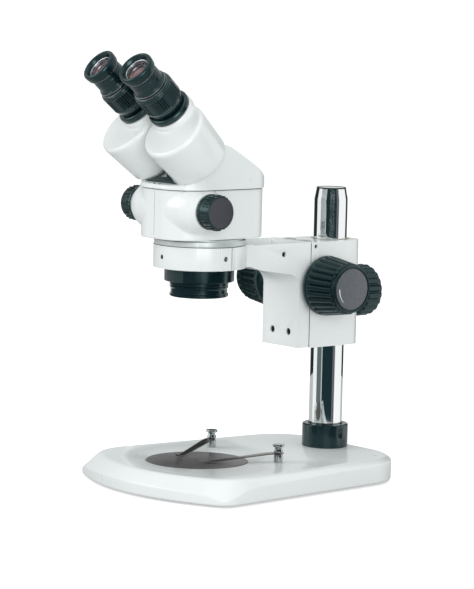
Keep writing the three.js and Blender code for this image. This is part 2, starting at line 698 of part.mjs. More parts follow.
piece(scope, 'head_flange', headFlange(), SATIN());
piece(scope, 'objective_housing', objectiveHousing(), BLACK());
piece(scope, 'objective_ring', objectiveRing(), BLACK());
piece(scope, 'objective_lens', objectiveLens(), LENS());
piece(scope, 'top_cover', topCover(), WHITE());
piece(scope, 'name_plate', namePlate(), BLACK());
piece(scope, 'zoom_shaft', zoomShaft(), STEEL());
piece(scope, 'zoom_carriage', zoomCarriage(), BRASS());

SIDES.forEach(([name, side]) => {
  piece(scope, `clip_post_${name}`, clipPost(side * CLIP.x), CHROME());
  piece(scope, `clip_spring_${name}`, clipSpring(side), STEEL());
  piece(scope, `focus_knob_${name}`, focusKnob(side), BLACK());
  piece(scope, `focus_knob_disc_${name}`, focusKnobDisc(side), GREY());
  piece(scope, `column_screw_${name}`, columnScrew(side * 11.5), STEEL());
  piece(scope, `body_shell_${name}`, bodyShell(side), WHITE());
  piece(scope, `guide_rod_${name}`, guideRod(RODS[side > 0 ? 1 : 0]), STEEL());
  piece(scope, `zoom_lens_${name}`, zoomLens(side * 13), LENS());
  piece(scope, `zoom_knob_${name}`, zoomKnob(side), BLACK());

  const drum = new THREE.Group();
  drum.position.set(side * DRUM.x, DRUM.y, DRUM.z);
  drum.rotation.set(LEAN, side * THREE.MathUtils.degToRad(SPREAD), 0);
  scope.add(drum);
  piece(drum, `prism_drum_${name}`, prismDrum(side), WHITE());
  piece(drum, `prism_${name}`, prism(), LENS());

  const eyepiece = new THREE.Group();
  eyepiece.position.set(-side * EYE.inward, EYE.up, 0);
  drum.add(eyepiece);
  piece(eyepiece, `eyepiece_tube_${name}`, eyepieceTube(), BLACK());
  piece(eyepiece, `dioptre_ring_${name}`, dioptreRing(), BLACK());
  piece(eyepiece, `eyepiece_barrel_${name}`, eyepieceBarrel(), BLACK());
  piece(eyepiece, `eye_cup_${name}`, eyeCup(), BLACK());
  piece(eyepiece, `eye_lens_${name}`, eyeLens(), LENS());
});

// The origin goes to the middle of the object's box, at table height.
const extent = new THREE.Box3().setFromObject(scope, true);
scope.position.set(-(extent.min.x + extent.max.x) / 2, -(extent.min.y + extent.max.y) / 2, 0);

export default scope;
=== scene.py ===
import json
from math import acos, cos, hypot, pi, radians, sin, sqrt, tan

import bmesh
import bpy
from mathutils import Matrix, Vector

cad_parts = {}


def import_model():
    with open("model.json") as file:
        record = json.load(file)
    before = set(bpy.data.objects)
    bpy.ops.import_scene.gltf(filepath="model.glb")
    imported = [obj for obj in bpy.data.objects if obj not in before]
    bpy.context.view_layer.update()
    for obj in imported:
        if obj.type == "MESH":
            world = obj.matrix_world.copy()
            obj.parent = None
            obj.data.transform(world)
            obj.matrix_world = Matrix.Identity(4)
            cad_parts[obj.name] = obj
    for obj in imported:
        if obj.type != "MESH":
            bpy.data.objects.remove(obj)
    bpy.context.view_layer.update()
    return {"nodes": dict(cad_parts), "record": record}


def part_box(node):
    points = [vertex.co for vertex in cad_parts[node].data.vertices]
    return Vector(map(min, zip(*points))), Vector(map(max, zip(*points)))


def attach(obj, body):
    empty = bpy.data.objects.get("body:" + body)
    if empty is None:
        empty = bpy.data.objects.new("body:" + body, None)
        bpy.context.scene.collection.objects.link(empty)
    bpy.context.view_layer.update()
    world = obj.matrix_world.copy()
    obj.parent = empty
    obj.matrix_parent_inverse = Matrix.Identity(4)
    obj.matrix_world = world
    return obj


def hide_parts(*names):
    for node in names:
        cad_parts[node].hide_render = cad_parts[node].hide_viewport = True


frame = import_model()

# Shapes are drawn in millimetres with the pole's axis at x = 0, y = 0 and the table at z = 0,
# and are then moved into the frame with the stage plate as the reference.
MM = 0.001
STAGE_Y = -158
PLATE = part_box("stage_plate")
SHIFT = (PLATE[0][1] + PLATE[1][1]) / 2 / MM - STAGE_Y
TO_FRAME = Matrix.Scale(MM, 4) @ Matrix.Translation((0, SHIFT, 0))

AXIS_Y = -160                      # optical axis
PINION = (-34, 184)                # y, z of the focus shaft
ZOOM = (-188.5, 260.5)             # y, z of the zoom shaft
CLAMP_Z = 172.5
BASE_TOP, BASE_LOW = 24, 2         # heights of the casting's top and of its lower edge
PLATE_HOLE = 47.8                  # radius of the opening for the stage plate
WALL_OUT = 47.4                    # how far the zoom boss stands out from the middle
CLIP = (49, -100.5)
LEAN = radians(49)                 # of the drums, towards the user
SPREAD = radians(4.3)              # of each drum, away from the other
DRUM = (29.6, -187.7, 305.5)
SEAT = 50.1                        # from a drum's foot to its eyepiece's seat
EYE = (10.8, 16.2)                 # the eyepiece's axis from the drum's axis


# ---------------------------------------------------------------- node materials
class Shader:
    """A node material in the making: a Principled shader with helpers for its inputs."""

    def __init__(self, name, **sockets):
        self.material = bpy.data.materials.new(name)
        self.material.use_nodes = True
        self.tree = self.material.node_tree
        self.main = self.tree.nodes["Principled BSDF"]
        self.place = self.node("ShaderNodeTexCoord").outputs["Object"]
        for key, value in sockets.items():
            self.main.inputs[key.replace("_", " ")].default_value = value

    def node(self, kind, **settings):
        made = self.tree.nodes.new(kind)
        for key, value in settings.items():
            setattr(made, key, value)
        return made

    def link(self, source, target):
        self.tree.links.new(source, target)

    def stretched(self, scale):
        mapping = self.node("ShaderNodeMapping")
        mapping.inputs["Scale"].default_value = scale
        self.link(self.place, mapping.inputs["Vector"])
        return mapping.outputs["Vector"]

    def noise(self, scale, detail=3, rough=0.5, where=None):
        texture = self.node("ShaderNodeTexNoise")
        texture.inputs["Scale"].default_value = scale
        texture.inputs["Detail"].default_value = detail
        texture.inputs["Roughness"].default_value = rough
        self.link(where or self.place, texture.inputs["Vector"])
        return texture.outputs["Fac"]

    def cells(self, scale, feature="F1", where=None):
        texture = self.node("ShaderNodeTexVoronoi", feature=feature)
        texture.inputs["Scale"].default_value = scale
        self.link(where or self.place, texture.inputs["Vector"])
        return texture.outputs["Distance"]

    def ramp(self, source, *stops):
        made = self.node("ShaderNodeValToRGB")
        elements = made.color_ramp.elements
        while len(elements) < len(stops):
            elements.new(0.5)
        for element, (at, colour) in zip(elements, stops):
            element.position = at
            element.color = (*colour, 1) if len(colour) == 3 else colour
        self.link(source, made.inputs["Fac"])
        return made.outputs["Color"]

    def mix(self, factor, first, second, blend="MIX"):
        made = self.node("ShaderNodeMix", data_type="RGBA", blend_type=blend)
        for socket, value in zip((0, 6, 7), (factor, first, second)):
            if isinstance(value, (int, float, tuple)):
                made.inputs[socket].default_value = value
            else:
                self.link(value, made.inputs[socket])
        return made.outputs[2]

    def colour(self, source):
        self.link(source, self.main.inputs["Base Color"])

    def roughness(self, source, low, high):
        spread = self.node("ShaderNodeMapRange")
        spread.inputs["To Min"].default_value = low
        spread.inputs["To Max"].default_value = high
        self.link(source, spread.inputs["Value"])
        self.link(spread.outputs["Result"], self.main.inputs["Roughness"])

    def bump(self, source, strength, depth, into=None):
        made = self.node("ShaderNodeBump")
        made.inputs["Strength"].default_value = strength
        made.inputs["Distance"].default_value = depth
        self.link(source, made.inputs["Height"])
        if into:
            self.link(into, made.inputs["Normal"])
        self.link(made.outputs["Normal"], self.main.inputs["Normal"])
        return made.outputs["Normal"]


def enamel(name, tone):
    """Baked enamel: a faint orange peel, slightly uneven gloss and hardly visible dust."""
    s = Shader(name, Coat_Weight=0.3, Coat_Roughness=0.12, IOR=1.5)
    dim = tuple(c * 0.965 for c in tone)
    cloud = s.noise(14, 4)
    s.colour(s.mix(s.ramp(s.noise(900, 2), (0.84, (0, 0, 0)), (0.95, (0.1, 0.1, 0.1))),
                   s.ramp(cloud, (0.3, dim), (0.7, tone)), tuple(c * 0.8 for c in tone) + (1,)))
    s.roughness(s.noise(60, 4), 0.24, 0.36)
    s.bump(s.noise(420, 2), 0.06, 0.0004)
    return s.material


def satin(name, tone):
    """Silver-grey lacquer with a fine metallic grain, turned round the ring."""
    s = Shader(name, Metallic=0.35)
    grain = s.noise(1600, 2)
    s.colour(s.ramp(grain, (0.3, tuple(c * 0.9 for c in tone)), (0.7, tone)))
    s.roughness(s.noise(120, 4), 0.32, 0.44)
    s.bump(grain, 0.08, 0.0002)
    return s.material


def dark(name, tone, rough, grain, depth, metal=0.0, coat=0.0):
    """Black anodised metal or moulded plastic: fine grain with paler worn specks."""
    s = Shader(name, Metallic=metal, Coat_Weight=coat, Coat_Roughness=0.1,
               Specular_Tint=(0.62, 1.0, 1.0, 1.0))
    fine = s.noise(grain, 3)
    worn = tuple(c * 1.35 + 0.001 for c in tone)
    s.colour(s.mix(s.ramp(fine, (0.45, (0, 0, 0)), (0.75, (1, 1, 1))),
                   s.ramp(s.noise(35, 3), (0.3, tone), (0.75, tuple(c * 1.3 for c in tone))),
                   worn + (1,)))
    s.roughness(s.noise(90, 4), rough - 0.06, rough + 0.08)
    s.bump(fine, 0.14, depth)
    return s.material


def chrome(name):
    """Polished chrome with hairlines along the bar and faint smears."""
    s = Shader(name, Metallic=1.0)
    s.colour(s.ramp(s.noise(8, 3), (0.3, (0.80, 0.83, 0.83)), (0.7, (0.88, 0.90, 0.90))))
    s.roughness(s.noise(30, 5), 0.025, 0.09)
    s.bump(s.noise(500, 2, where=s.stretched((1, 1, 0.05))), 0.03, 0.0001)
    return s.material


def drawn_metal(name, tone, rough, along=(1, 0.06, 1)):
    """Bare metal with drawn or turned marks."""
    s = Shader(name, Metallic=1.0)
    marks = s.noise(900, 4, where=s.stretched(along))
    s.colour(s.ramp(marks, (0.3, tuple(c * 0.75 for c in tone)), (0.7, tone)))
    s.roughness(s.noise(70, 4), rough - 0.08, rough + 0.1)
    s.bump(marks, 0.12, 0.0002)
    return s.material


def coated_glass(name, deep, coating_and_reflection_tints):
    """Dark optical glass whose base colour carries patches of colour: the tints are the coating's own,
    their patchy spread is painted reflection.
    """
    s = Shader(name, Roughness=0.03, IOR=1.7, Coat_Weight=1.0, Coat_Roughness=0.02, Metallic=0.35)
    # Painted reflection: noise spreads the coating's tints in patches over the glass.
    painted_reflection_patches = s.ramp(s.noise(55, 1.5), (0.30, coating_and_reflection_tints[0]), (0.46, deep), (0.56, coating_and_reflection_tints[1]),
                   (0.66, coating_and_reflection_tints[2]), (0.8, deep))
    s.colour(painted_reflection_patches)
    s.bump(s.noise(300, 1), 0.01, 0.0001)
    return s.material


def speckled(name, tone, spot, rough, scale=1400, coat=0.0):
    """Moulded face with a fine speckle."""
    s = Shader(name, Coat_Weight=coat, Coat_Roughness=0.08)
    dots = s.cells(scale)
    s.colour(s.ramp(dots, (0.18, spot), (0.45, tone)))
    s.roughness(s.noise(150, 3), rough - 0.05, rough + 0.07)
    s.bump(dots, 0.03, 0.0001)
    return s.material


def rubber(name):
    s = Shader(name)
    pores = s.cells(2200)
    s.colour(s.ramp(s.noise(60, 4), (0.3, (0.010, 0.010, 0.011)), (0.75, (0.028, 0.029, 0.031))))
    s.roughness(s.noise(220, 4), 0.62, 0.85)
    s.bump(pores, 0.3, 0.0002)
    return s.material


WHITE = (0.80, 0.835, 0.83)
MATERIALS = {
    "enamel_iron": enamel("enamel_iron", WHITE),
    "enamel_light": enamel("enamel_light", WHITE),
    "ring_satin": satin("ring_satin", (0.66, 0.70, 0.70)),
    "zinc_steel": drawn_metal("zinc_steel", (0.50, 0.51, 0.53), 0.32),
    "rubber_feet": rubber("rubber_feet"),
    "stage_grey": speckled("stage_grey", (0.105, 0.096, 0.099), (0.118, 0.108, 0.112), 0.3, 2600),
    "chrome_bar": chrome("chrome_bar"),
    "black_anodised": dark("black_anodised", (0.002, 0.009, 0.012), 0.19, 1500, 0.0001, 0.0, 0.25),
    "black_moulded": dark("black_moulded", (0.003, 0.010, 0.013), 0.22, 1100, 0.0002),
    "knob_disc": speckled("knob_disc", (0.085, 0.095, 0.105), (0.17, 0.18, 0.20), 0.34),
    "bright_brass": drawn_metal("bright_brass", (0.55, 0.40, 0.16), 0.28),
    "optical_glass": coated_glass("optical_glass", (0.010, 0.014, 0.014),
                                  ((0.05, 0.11, 0.07), (0.16, 0.07, 0.10), (0.30, 0.17, 0.12))),
    "spring_steel": drawn_metal("spring_steel", (0.34, 0.31, 0.29), 0.3),
}
STEM = drawn_metal("stem_chrome", (0.62, 0.64, 0.65), 0.14, (0.05, 0.05, 1))
ZOOM_FACE = speckled("zoom_face", (0.048, 0.050, 0.060), (0.075, 0.078, 0.09), 0.36)
MARK = speckled("white_mark", (0.75, 0.78, 0.78), (0.6, 0.62, 0.62), 0.5)
# Painted shade: a near-black material that stands in for the shade inside holes, slots, grooves and
# seams. The screws, plug, rim line, lip slots and seam strip wear it.
RECESS_SHADE = dark("recess", (0.010, 0.011, 0.012), 0.5, 900, 0.0002)

for node in frame["nodes"].values():
    wanted = next(p["material_slot"] for p in frame["record"]["subparts"] if p["node"] == node.name)
    node.data.materials.clear()
    node.data.materials.append(MATERIALS[wanted])


# ---------------------------------------------------------------- meshes
def solid(name, points, faces, where=Matrix(), sharp=38):
    """An object from points in millimetres, placed, cleaned and shaded smooth."""
    mesh = bpy.data.meshes.new(name)
    mesh.from_pydata([tuple(p) for p in points], [], faces)
    mesh.transform(TO_FRAME @ where)
    shape = bmesh.new()
    shape.from_mesh(mesh)
    bmesh.ops.remove_doubles(shape, verts=shape.verts, dist=1e-6)
    bmesh.ops.recalc_face_normals(shape, faces=shape.faces)
    shape.to_mesh(mesh)
    shape.free()
    mesh.shade_smooth()
    mesh.set_sharp_from_angle(angle=radians(sharp))
    made = bpy.data.objects.new(name, mesh)
    bpy.context.scene.collection.objects.link(made)
    return made


def piece(made, body, slot, *nodes, material=None):
    made.data.materials.clear()
    made.data.materials.append(material or MATERIALS[slot])
    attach(made, body)
    if nodes:
        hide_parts(*nodes)
    return made


def eased(profile, radius, steps=4):
    """An open profile with every inner corner rounded."""
    out, inner = [profile[0]], len(profile) - 2
    radii = radius if isinstance(radius, (list, tuple)) else [radius] * inner
    for before, here, after, wide in zip(profile, profile[1:], profile[2:], radii):
        a, h, b = Vector(before[:2]), Vector(here[:2]), Vector(after[:2])
        reach = min(wide, (a - h).length * 0.45, (b - h).length * 0.45)
        if reach < 0.02:
            out.append(here)
            continue
        start, end = h + (a - h).normalized() * reach, h + (b - h).normalized() * reach
        for k in range(steps + 1):
            t = k / steps
            spot = start * (1 - t) ** 2 + h * 2 * t * (1 - t) + end * t * t
            out.append((spot.x, spot.y, *here[2:]))
    return out + [profile[-1]]


def lathe(profile, segments=96, depth=None):
    """Points and faces of a profile of (radius, height) turned about Z. depth(turn, i) pulls in."""
    points, faces = [], []
    for i, (radius, height, *_) in enumerate(profile):
        for j in range(segments):
            turn = 2 * pi * j / segments
            r = radius - (depth(turn, i) if depth else 0)
            points.append((r * cos(turn), r * sin(turn), height))
    for i in range(len(profile) - 1):
        for j in range(segments):
            k = (j + 1) % segments
            faces.append((i * segments + j, i * segments + k,
                          (i + 1) * segments + k, (i + 1) * segments + j))
    return points, faces


def turned(name, profile, where=Matrix(), ease=0.35, segments=96, sharp=38):
    return solid(name, *lathe(eased(profile, ease), segments), where, sharp)


def fillet(corners, steps=10):
    """A closed outline through corners (x, y, radius), each rounded by an arc."""
    out = []
    for i, (x, y, radius) in enumerate(corners):
        here = Vector((x, y))
        back = (Vector(corners[i - 1][:2]) - here).normalized()
        ahead = (Vector(corners[(i + 1) % len(corners)][:2]) - here).normalized()
        if radius == 0:
            out.append(here)
            continue
        half = acos(max(-1, min(1, back.dot(ahead)))) / 2
        centre = here + (back + ahead).normalized() * radius / sin(half)
        start = here + back * radius / tan(half) - centre
        end = here + ahead * radius / tan(half) - centre
        sweep = start.angle_signed(end)
        for k in range(steps + 1):
            spot = start.copy()
            spot.rotate(Matrix.Rotation(-sweep * k / steps, 2))
            out.append(centre + spot)
    return out


def prism_of(outline, low, high, axes="xy"):
    """Points and faces of an outline raised between two levels; axes names its plane."""
    count = len(outline)
    put = {"xy": lambda u, v, w: (u, v, w), "yz": lambda u, v, w: (w, u, v)}[axes]
    points = [put(p[0], p[1], level) for level in (low, high) for p in outline]
    faces = [tuple(range(count)), tuple(range(count, 2 * count))]
    faces += [(j, (j + 1) % count, count + (j + 1) % count, count + j) for j in range(count)]
    return points, faces


def rod(radius, low, high, where=Matrix(), segments=48):
    circle = [(radius * cos(2 * pi * k / segments), radius * sin(2 * pi * k / segments))
              for k in range(segments)]
    return solid("tool", *prism_of(circle, low, high), where)


def block(x0, x1, y0, y1, z0, z1):
    return solid("tool", *prism_of([(x0, y0), (x1, y0), (x1, y1), (x0, y1)], z0, z1))


def combine(target, tools, operation):
    """Adds or cuts other objects, which are used up."""
    for tool in tools:
        step = target.modifiers.new("step", "BOOLEAN")
        step.object = tool
        step.operation = operation
        step.solver = "EXACT"
        bake(target)
        bpy.data.objects.remove(tool)


def bake(target):
    shaped = target.evaluated_get(bpy.context.evaluated_depsgraph_get())
    mesh = bpy.data.meshes.new_from_object(shaped)
    target.modifiers.clear()
    target.data = mesh


def softened(target, width, segments=3, angle=32):
    """Rounds the edges of a built solid."""
    edge = target.modifiers.new("edge", "BEVEL")
    edge.width = width * MM
    edge.segments = segments
    edge.limit_method = "ANGLE"
    edge.angle_limit = radians(angle)
    edge.use_clamp_overlap = True
    edge.harden_normals = False
    bake(target)
    target.data.shade_smooth()
    target.data.set_sharp_from_angle(angle=radians(50))
    return target


ALONG_X = Matrix.Rotation(radians(90), 4, "Y")
ALONG_Y = Matrix.Rotation(radians(-90), 4, "X")


def at(x, y, z, turn=Matrix()):
    return Matrix.Translation((x, y, z)) @ turn


# ---------------------------------------------------------------- base
def base_outline(side, front, rear, steps=12):
    corner = 20 + 2 * min(front, 12)
    return fillet([(91 - side, 26 - rear, 45 - rear), (-91 + side, 26 - rear, 45 - rear),
                   (-110 + side, -212 + front, corner), (0, -262 + front, 190 - 3 * front),
                   (110 - side, -212 + front, corner)], steps)


def resampled(loop, count):
    """The closed loop as evenly spaced points, starting behind the middle."""
    loop = [Vector(p) for p in loop]
    lengths = [(loop[(i + 1) % len(loop)] - p).length for i, p in enumerate(loop)]
    total, out, i, run = sum(lengths), [], 0, 0.0
    for k in range(count):
        want = total * k / count
        while run + lengths[i] < want:
            run += lengths[i]
            i += 1
        out.append(loop[i].lerp(loop[(i + 1) % len(loop)], (want - run) / max(lengths[i], 1e-9)))
    return out


def reach(inner, outer, loop):
    """How far along from inner to outer the loop is crossed, at most 1."""
    best, step = 1.0, outer - inner
    for i, a in enumerate(loop):
        edge = loop[(i + 1) % len(loop)] - a
        across = step.x * edge.y - step.y * edge.x
        if abs(across) < 1e-9:
            continue
        t = ((a.x - inner.x) * edge.y - (a.y - inner.y) * edge.x) / across
        u = ((a.x - inner.x) * step.y - (a.y - inner.y) * step.x) / across
        if 0 < t < best and -1e-6 <= u <= 1 + 1e-6:
            best = t
    return best


def base_casting():
    """The plateau, its flared flanks, an upright rim and a rolled lower edge."""
    count, top, low = 420, BASE_TOP, BASE_LOW
    plateau = resampled(base_outline(7.5, 12, 1.5, 40), count)
    rim = [Vector(p) for p in base_outline(0.3, 0.3, 0.3, 40)]
    rings = []
    for p in plateau:
        back = max(0, min(1.2, (p.y + 200) / 185))
        flare = Vector((p.x * (1.20 + 0.28 * back * back), -90 + (p.y + 90) * 1.16))
        t = min(reach(p, flare, rim), 1 - (low + 0.4) / top)
        edge = p.lerp(flare, t)
        out = (edge - p).normalized()
        foot = edge - out * 2.2
        inside = p - out * 7
        drop = top * (1 - t)
        flat = [(0, top), ((p - inside).length, top), ((edge - inside).length, drop),
                ((edge - inside).length, low), ((foot - out * 5 - inside).length, low)]
        soft = eased(flat, (5.0, 0.9, 2.2), 6)
        rings.append([(inside.x + out.x * d, inside.y + out.y * d, z) for d, z in soft])
    across = len(rings[0])
    points = [spot for line in rings for spot in line]
    faces = [(j * across + i, ((j + 1) % count) * across + i,
              ((j + 1) % count) * across + i + 1, j * across + i + 1)
             for j in range(count) for i in range(across - 1)]
    faces.append(tuple(j * across + across - 1 for j in range(count)))
    made = solid("base_body", points, faces, sharp=60)
    cover_plateau(made, top, PLATE_HOLE)
    return made


def cover_plateau(made, top, hole):
    """Closes the top with the round opening for the stage plate and a step below it."""
    shape = bmesh.new()
    shape.from_mesh(made.data)
    rim = [e for e in shape.edges if e.is_boundary]
    frame_point = lambda x, y, z: TO_FRAME @ Vector((x, y, z))
    count = 128
    spots = [[shape.verts.new(frame_point(r * cos(2 * pi * k / count),
                                          STAGE_Y + r * sin(2 * pi * k / count), z))
              for k in range(count)] for r, z in ((hole + 0.5, top), (hole, top - 0.5), (hole, 19))]
    circle = [shape.edges.new((spots[0][k], spots[0][(k + 1) % count])) for k in range(count)]
    bmesh.ops.triangle_fill(shape, use_beauty=True, edges=rim + circle)
    for upper, lower in zip(spots, spots[1:]):
        for k in range(count):
            n = (k + 1) % count
            shape.faces.new((upper[k], upper[n], lower[n], lower[k]))
    shape.faces.new(spots[-1])
    bmesh.ops.recalc_face_normals(shape, faces=shape.faces)
    shape.to_mesh(made.data)
    shape.free()
    made.data.shade_smooth()
    made.data.set_sharp_from_angle(angle=radians(60))


piece(base_casting(), "stand", "enamel_iron", "base_casting")

for name, (x, y) in {"rear_left": (-64, -10), "rear_right": (64, -10),
                     "front_left": (-82, -192), "front_right": (82, -192)}.items():
    foot = turned(f"foot_{name}_soft", [(0, 0.6), (3, 0.6), (3.6, 0.02), (8.6, 0.02), (9.6, 0.8),
                                        (9.9, 2.2), (9.9, 5), (0, 5)], at(x, y, 0), 0.5, 48)
    piece(foot, "stand", "rubber_feet", f"foot_{name}")

piece(turned("stage_disc", [(0, 24.1), (46.9, 24.1), (47.45, 23.6), (47.45, 19.2), (0, 19.2)],
             at(0, STAGE_Y, 0), 0.3, 160), "stand", "stage_grey", "stage_plate")


# ---------------------------------------------------------------- pole, collar and clips
piece(turned("pole_bar", [(0, 12.4), (15.97, 12.4), (15.97, 262), (14.1, 272.2), (13.2, 273),
                          (0, 273.5)], ease=0.6, segments=128), "stand", "chrome_bar", "pole")
# The rim line is painted shade: a dark ring along the pole's top edge.
piece(turned("pole_rim_line", [(12.9, 273.2), (13.8, 273.25), (14.25, 272.5), (14.0, 271.7)],
             ease=0.1, segments=96), "stand", "black_anodised", material=RECESS_SHADE)


def collar():
    made = turned("collar_ring", [(16.4, 24.1), (21.3, 24.1), (21.95, 24.8), (21.95, 45.4),
                                  (21.1, 46.4), (17.2, 46.4), (16.4, 45.8), (16.4, 24.1)],
                  ease=0.5, segments=128)
    combine(made, [rod(2.6, 10, 40, at(0, 0, 36, ALONG_X))], "DIFFERENCE")
    return softened(made, 0.15, 1)


piece(collar(), "stand", "black_anodised", "pole_collar")
# The grub screw wears painted shade, the dark of its hole.
piece(turned("collar_grub", [(0, 19.9), (1.1, 19.9), (1.3, 20.9), (2.4, 20.9), (2.4, 17), (0, 17)],
             at(0, 0, 36, ALONG_X), 0.1, 24), "stand", "zinc_steel", material=RECESS_SHADE)

for side, name in ((-1, "left"), (1, "right")):
    stem = turned(f"clip_stem_{name}", [
        (0, 24.1), (4.25, 24.1), (4.25, 31.4), (2.8, 31.6), (2.8, 33.2), (4.45, 33.2), (4.45, 34.5),
        (3.5, 36.2), (3.4, 37.8), (4.3, 38.5), (5.5, 38.7), (5.55, 40.4), (5.0, 41.1), (0, 41.2),
    ], at(side * CLIP[0], CLIP[1], 0), 0.5, 56)
    piece(stem, "stand", "chrome_bar", f"clip_post_{name}", material=STEM)


def clip_strip(name, side):
    """The sprung strip: an eye round the stem, a long fall and an upturned tip."""
    thick, points, faces = 0.8, [], []
    path = eased([(5.2, 32.8), (-8, 32.8), (-69, 25.6), (-76, 28.2)], 6, 8)
    for y, z in path:
        along = max(0, min(1, (5.2 - y) / 81))
        half = 5.3 - 2.6 * along
        if y > 0.5:
            half = sqrt(max(0.5, 5.3 ** 2 - y * y))
        if y < -73:
            half *= sqrt(max(0.1, 1 - ((-73 - y) / 3.4) ** 2))
        for x, drop in ((-half, thick * 0.7), (-half + 0.3, 0), (half - 0.3, 0), (half, thick * 0.7),
                        (half - 0.2, thick), (-half + 0.2, thick)):
            points.append((x, y, z - drop))
    for i in range(len(path) - 1):
        for k in range(6):
            n = (k + 1) % 6
            faces.append((i * 6 + k, i * 6 + n, (i + 1) * 6 + n, (i + 1) * 6 + k))
    faces += [tuple(range(6)), tuple(range(len(points) - 6, len(points)))]
    turn = Matrix.Rotation(-side * radians(25.5), 4, "Z")
    return solid(f"clip_strip_{name}", points, faces, at(side * CLIP[0], CLIP[1], 0, turn))


for side, name in ((-1, "left"), (1, "right")):
    piece(clip_strip(name, side), f"clip_{name}", "spring_steel", f"clip_spring_{name}")


# ---------------------------------------------------------------- focus block
def housing():
    outline = fillet([(25.5, -45.3, 0.8), (25.5, 21.9, 15), (-25.5, 21.9, 15), (-25.5, -45.3, 0.8)])
    made = solid("housing_body", *prism_of(outline, 124.5, 224.3))
    groove = [(14.6, -46.5), (18.1, -38.2), (-18.1, -38.2), (-14.6, -46.5)]
    holes = [(-39.8, 220.2), (8, 200)]
    combine(made, [turned("tool", [(0, 15), (11.9, 15), (11.9, 26.3), (0, 26.3)],
                          at(0, 0, CLAMP_Z, ALONG_Y), 0.4, 64)], "UNION")
    combine(made, [
        rod(18.45, 100, 240, segments=96), solid("tool", *prism_of(groove, 120, 230)),
        rod(4.6, -30, 30, at(0, *PINION, ALONG_X)),
        *[rod(1.9, 22, 27, at(0, y, z, ALONG_X), 32) for y, z in holes],
    ], "DIFFERENCE")
    return softened(made, 0.7, 3)


piece(housing(), "focus_block", "enamel_light", "rack_housing")
# The grub screws wear painted shade, the dark of their holes.
for y, z in ((-39.8, 220.2), (8, 200)):
    grub = turned(f"housing_grub_{abs(int(y))}", [
        (0, 23.4), (0.8, 23.4), (0.9, 24.2), (1.8, 24.2), (1.8, 22.2), (0, 22.2)],
        at(0, y, z, ALONG_X), 0.1, 24)
    piece(grub, "focus_block", "zinc_steel", material=RECESS_SHADE)


def rib(turn, count, sharpness=5):
    """0 on a rib's crown and 1 in the valley between two ribs."""
    return abs(cos(turn * count / 2)) ** sharpness


def fade(z, low, rise, high, fall):
    """1 between two heights, falling to 0 over a short way beyond each."""
    return max(0, min(1, (z - low) / rise)) * max(0, min(1, (high - z) / fall))


def outward(side):
    """Turns the Z axis of a lathed shape to the left or the right."""
    return Matrix.Rotation(side * radians(90), 4, "Y")


def focus_knob(name, side):
    profile = [(0, 29.1), (23.4, 29.1), (26.6, 31), (28.2, 34), (28.3, 36.2), (27.4, 37.4),
               (28.2, 38.6), (24.0, 67.4), (22.6, 69.0), (21.9, 69.4), (21.8, 71.2), (21.2, 71.9),
               (20.3, 71.9), (20.05, 71.2), (20.05, 70.3), (0, 70.3)]
    dense = dense_heights(eased(profile, 0.7), 2.0)

    def depth(turn, i):
        radius, height = dense[i]
        return 2.1 * fade(height, 37.6, 2.6, 68.6, 2.2) * rib(turn, 26) if radius > 20 else 0

    made = solid(f"focus_grip_{name}", *lathe(dense, 26 * 12, depth),
                 at(0, *PINION, outward(side)), 45)
    piece(made, "focus_drive", "black_moulded", f"focus_knob_{name}")


def dense_heights(profile, step):
    """The profile with its long stretches divided."""
    out = [profile[0]]
    for a, b in zip(profile, profile[1:]):
        parts = max(1, int(abs(b[1] - a[1]) / step))
        out += [(a[0] + (b[0] - a[0]) * k / parts, a[1] + (b[1] - a[1]) * k / parts)
                for k in range(1, parts + 1)]
    return out


def knob_disc(name, side):
    where = at(0, *PINION, outward(side))
    made = turned(f"focus_face_{name}", [(0, 71.45), (18.9, 71.45), (19.55, 71.0), (19.55, 70.5),
                                         (0, 70.5)], where, 0.4)
    piece(made, "focus_drive", "knob_disc", f"focus_knob_disc_{name}")
    gloss = turned(f"focus_trim_{name}", [(19.6, 70.6), (19.65, 71.5), (19.9, 71.8), (20.3, 71.5),
                                          (20.3, 70.6)], where, 0.2, 128)
    piece(gloss, "focus_drive", "black_anodised")
    arc_mark(f"focus_tick_{name}", where, 15.6, 1.3, 71.49, -side * 92, -side * 40)


def arc_mark(name, where, radius, width, height, start, end):
    """A printed arc, a hair above the face it is on."""
    count, points = 24, []
    for k in range(count + 1):
        turn = radians(start + (end - start) * k / count)
        taper = width * (1 - 0.75 * k / count)
        for r in (radius - taper / 2, radius + taper / 2):
            points.append((r * cos(turn), r * sin(turn), height))
    faces = [(2 * k, 2 * k + 2, 2 * k + 3, 2 * k + 1) for k in range(count)]
    piece(solid(name, points, faces, where), "focus_drive", "knob_disc", material=MARK)


for side, name in ((-1, "left"), (1, "right")):
    focus_knob(name, side)
    knob_disc(name, side)


def clamp_knob():
    dense = dense_heights(eased([
        (0, 27.2), (19.4, 27.2), (22.2, 28.4), (24.9, 30.6), (24.9, 45.6), (23.2, 48.2),
        (19.6, 49.5), (17.2, 49.5), (16.6, 48.9), (0, 48.9)], 1.1), 1.5)

    def depth(turn, i):
        radius, height = dense[i]
        return 2.4 * fade(height, 28.2, 2.2, 48.9, 2.6) * rib(turn, 20, 4) if radius > 18 else 0

    return solid("clamp_grip", *lathe(dense, 20 * 14, depth), at(0, 0, CLAMP_Z, ALONG_Y), 45)


piece(clamp_knob(), "clamp", "black_moulded", "clamp_knob")


